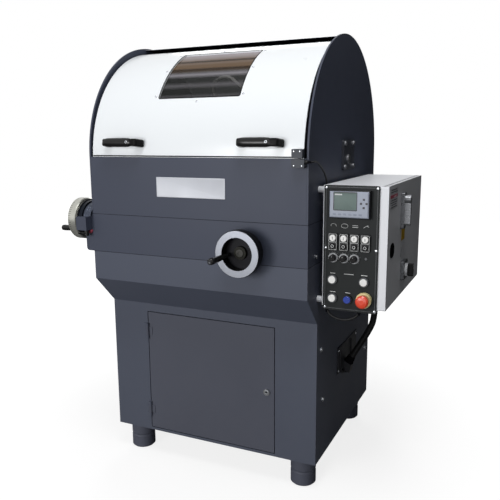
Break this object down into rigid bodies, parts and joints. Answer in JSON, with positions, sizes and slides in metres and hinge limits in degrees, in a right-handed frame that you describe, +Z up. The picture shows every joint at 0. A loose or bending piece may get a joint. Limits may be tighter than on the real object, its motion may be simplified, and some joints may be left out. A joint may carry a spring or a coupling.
{
  "type": "circular knife grinder",
  "caption": "Enclosed workshop grinder for circular knives: swing-up hood with window, two handwheel feeds, cup wheel, and side control cabinet.",
  "frame": {"origin": "on the floor, at the middle of the four feet", "axes": "+X to the operator's right, +Y to the back, +Z up"},
  "size_m": [1.2376, 0.9823, 1.5544],
  "materials": {
    "body_paint": "satin",
    "side_paint": "gloss",
    "hood_paint": "gloss",
    "window": "clear",
    "door_paint": "satin",
    "cabinet_paint": "satin",
    "bare_casting": "machined",
    "machined_steel": "machined",
    "bright_steel": "polished",
    "black_plastic": "gloss",
    "panel_black": "matte",
    "foot_rubber": "matte",
    "white_plastic": "gloss",
    "blue_plastic": "gloss",
    "red_plastic": "gloss",
    "grey_plastic": "matte",
    "conduit_plastic": "matte",
    "abrasive": "grainy",
    "motor_paint": "satin",
    "aluminium_plate": "brushed"
  },
  "bodies": {
    "machine": {"feet": "foot_rubber", "pedestal": "body_paint", "bed_casting": "body_paint", "front_panel": "body_paint", "side_panel_left": "side_paint", "side_panel_right": "side_paint", "rear_shell": "hood_paint", "pivot_flanges": "aluminium_plate", "interlock_switch": "grey_plastic", "control_cabinet": "cabinet_paint", "panel_plate": "panel_black", "display_housing": "panel_black", "button_bezels": "grey_plastic", "hose_port": "side_paint", "power_conduit": "conduit_plastic", "control_cables": "conduit_plastic", "coolant_tank": "machined_steel", "switchgear": "grey_plastic"},
    "hood": {"hood_cover": "hood_paint", "window_pane": "window", "hood_pivots": "machined_steel", "hood_handles": "black_plastic", "interlock_actuator": "grey_plastic"},
    "store_door": {"storage_door": "door_paint"},
    "store_lock": {"cam_lock": "bright_steel"},
    "infeed_wheel": {"front_handwheel": "black_plastic", "front_feed_screw": "machined_steel"},
    "infeed_grip": {"front_grip": "black_plastic"},
    "cross_wheel": {"left_handwheel": "black_plastic", "left_feed_screw": "machined_steel"},
    "cross_grip": {"left_grip": "black_plastic"},
    "cross_lock": {"clamp_lever": "black_plastic"},
    "work_carriage": {"work_slide": "bare_casting", "work_head": "body_paint"},
    "work_shaft": {"work_spindle": "machined_steel"},
    "grinding_carriage": {"grinding_slide": "bare_casting", "grinding_motor": "motor_paint", "coolant_pipe": "grey_plastic"},
    "grinding_shaft": {"grinding_spindle": "machined_steel", "cup_wheel": "abrasive"},
    "electrical_door": {"cabinet_door": "cabinet_paint", "door_fittings": "black_plastic"},
    "handle_lever": {"door_handle": "bright_steel"},
    "isolator": {"main_switch": "black_plastic"},
    "start_button_1": {"start_button_1": "white_plastic"},
    "stop_button_1": {"stop_button_1": "black_plastic"},
    "start_button_2": {"start_button_2": "white_plastic"},
    "stop_button_2": {"stop_button_2": "black_plastic"},
    "start_button_3": {"start_button_3": "white_plastic"},
    "stop_button_3": {"stop_button_3": "black_plastic"},
    "start_button_4": {"start_button_4": "white_plastic"},
    "stop_button_4": {"stop_button_4": "black_plastic"},
    "feed_button": {"feed_button": "white_plastic"},
    "spindle_button": {"spindle_button": "white_plastic"},
    "coolant_button": {"coolant_button": "white_plastic"},
    "reset_button": {"reset_button": "blue_plastic"},
    "speed_knob_1": {"speed_knob_1": "black_plastic"},
    "speed_knob_2": {"speed_knob_2": "black_plastic"},
    "speed_knob_3": {"speed_knob_3": "black_plastic"},
    "emergency_stop": {"emergency_stop": "red_plastic"}
  },
  "joints": [
    {"name": "hood_swing", "type": "hinge", "parent": "machine", "child": "hood", "pos_m": [0, -0.0525, 1.133], "axis": [-1, 0, 0], "range_deg": [0, 70]},
    {"name": "store_door_swing", "type": "hinge", "parent": "machine", "child": "store_door", "pos_m": [-0.255, -0.3556, 0.3455], "axis": [0, 0, -1], "range_deg": [0, 110]},
    {"name": "store_lock_turn", "type": "hinge", "parent": "store_door", "child": "store_lock", "pos_m": [0.2265, -0.345, 0.341], "axis": [0, -1, 0], "range_deg": [0, 90]},
    {"name": "infeed_travel", "type": "slide", "parent": "machine", "child": "grinding_carriage", "axis": [0, 1, 0], "range_m": [-0.045, 0.045]},
    {"name": "infeed_wheel_turn", "type": "hinge", "parent": "machine", "child": "infeed_wheel", "pos_m": [0.198, -0.5, 0.855], "axis": [0, 1, 0], "range_deg": [-3245, 3245]},
    {"name": "infeed_grip_turn", "type": "hinge", "parent": "infeed_wheel", "child": "infeed_grip", "pos_m": [0.15692, -0.56, 0.84627], "axis": [0, -1, 0], "continuous": true},
    {"name": "cross_travel", "type": "slide", "parent": "machine", "child": "work_carriage", "axis": [1, 0, 0], "range_m": [-0.04, 0.04]},
    {"name": "cross_wheel_turn", "type": "hinge", "parent": "machine", "child": "cross_wheel", "pos_m": [-0.48, -0.405, 0.922], "axis": [1, 0, 0], "range_deg": [-2885, 2885]},
    {"name": "cross_grip_turn", "type": "hinge", "parent": "cross_wheel", "child": "cross_grip", "pos_m": [-0.56, -0.42275, 0.88394], "axis": [-1, 0, 0], "continuous": true},
    {"name": "cross_lock_turn", "type": "hinge", "parent": "machine", "child": "cross_lock", "pos_m": [-0.42, -0.47, 0.879], "axis": [0, 0, 1], "range_deg": [0, 90]},
    {"name": "work_shaft_spin", "type": "hinge", "parent": "work_carriage", "child": "work_shaft", "pos_m": [-0.15, 0, 1.18], "axis": [0, -1, 0], "continuous": true},
    {"name": "grinding_shaft_spin", "type": "hinge", "parent": "grinding_carriage", "child": "grinding_shaft", "pos_m": [0.053, -0.06, 1.18], "axis": [-0.342, -0.9397, 0], "continuous": true},
    {"name": "electrical_door_swing", "type": "hinge", "parent": "machine", "child": "electrical_door", "pos_m": [0.611, 0.2036, 0.872], "axis": [0, 0, 1], "range_deg": [0, 110]},
    {"name": "handle_lever_turn", "type": "hinge", "parent": "electrical_door", "child": "handle_lever", "pos_m": [0.641, -0.164, 1.0085], "axis": [1, 0, 0], "range_deg": [0, 90]},
    {"name": "isolator_turn", "type": "hinge", "parent": "electrical_door", "child": "isolator", "pos_m": [0.641, -0.118, 0.765], "axis": [1, 0, 0], "range_deg": [0, 90]},
    {"name": "start_button_1_press", "type": "slide", "parent": "machine", "child": "start_button_1", "axis": [0, 1, 0], "range_m": [0, 0.004], "stiffness_N_per_m": 400, "springref_m": -0.002},
    {"name": "stop_button_1_press", "type": "slide", "parent": "machine", "child": "stop_button_1", "axis": [0, 1, 0], "range_m": [0, 0.004], "stiffness_N_per_m": 400, "springref_m": -0.002},
    {"name": "start_button_2_press", "type": "slide", "parent": "machine", "child": "start_button_2", "axis": [0, 1, 0], "range_m": [0, 0.004], "stiffness_N_per_m": 400, "springref_m": -0.002},
    {"name": "stop_button_2_press", "type": "slide", "parent": "machine", "child": "stop_button_2", "axis": [0, 1, 0], "range_m": [0, 0.004], "stiffness_N_per_m": 400, "springref_m": -0.002},
    {"name": "start_button_3_press", "type": "slide", "parent": "machine", "child": "start_button_3", "axis": [0, 1, 0], "range_m": [0, 0.004], "stiffness_N_per_m": 400, "springref_m": -0.002},
    {"name": "stop_button_3_press", "type": "slide", "parent": "machine", "child": "stop_button_3", "axis": [0, 1, 0], "range_m": [0, 0.004], "stiffness_N_per_m": 400, "springref_m": -0.002},
    {"name": "start_button_4_press", "type": "slide", "parent": "machine", "child": "start_button_4", "axis": [0, 1, 0], "range_m": [0, 0.004], "stiffness_N_per_m": 400, "springref_m": -0.002},
    {"name": "stop_button_4_press", "type": "slide", "parent": "machine", "child": "stop_button_4", "axis": [0, 1, 0], "range_m": [0, 0.004], "stiffness_N_per_m": 400, "springref_m": -0.002},
    {"name": "feed_button_press", "type": "slide", "parent": "machine", "child": "feed_button", "axis": [0, 1, 0], "range_m": [0, 0.004], "stiffness_N_per_m": 400, "springref_m": -0.002},
    {"name": "spindle_button_press", "type": "slide", "parent": "machine", "child": "spindle_button", "axis": [0, 1, 0], "range_m": [0, 0.004], "stiffness_N_per_m": 400, "springref_m": -0.002},
    {"name": "coolant_button_press", "type": "slide", "parent": "machine", "child": "coolant_button", "axis": [0, 1, 0], "range_m": [0, 0.004], "stiffness_N_per_m": 400, "springref_m": -0.002},
    {"name": "reset_button_press", "type": "slide", "parent": "machine", "child": "reset_button", "axis": [0, 1, 0], "range_m": [0, 0.004], "stiffness_N_per_m": 400, "springref_m": -0.002},
    {"name": "speed_knob_1_turn", "type": "hinge", "parent": "machine", "child": "speed_knob_1", "pos_m": [0.46252, -0.374, 0.83888], "axis": [0, 1, 0], "range_deg": [-135, 135]},
    {"name": "speed_knob_2_turn", "type": "hinge", "parent": "machine", "child": "speed_knob_2", "pos_m": [0.49695, -0.374, 0.83888], "axis": [0, 1, 0], "range_deg": [-135, 135]},
    {"name": "speed_knob_3_turn", "type": "hinge", "parent": "machine", "child": "speed_knob_3", "pos_m": [0.52999, -0.374, 0.83888], "axis": [0, 1, 0], "range_deg": [-135, 135]},
    {"name": "emergency_stop_press", "type": "slide", "parent": "machine", "child": "emergency_stop", "axis": [0, 1, 0], "range_m": [0, 0.005], "stiffness_N_per_m": 1200, "springref_m": -0.003}
  ],
  "couplings": [
    {"joint": "infeed_wheel_turn", "follows": "infeed_travel", "rad_per_m": 1256.6},
    {"joint": "cross_wheel_turn", "follows": "cross_travel", "rad_per_m": 1256.6}
  ]
}
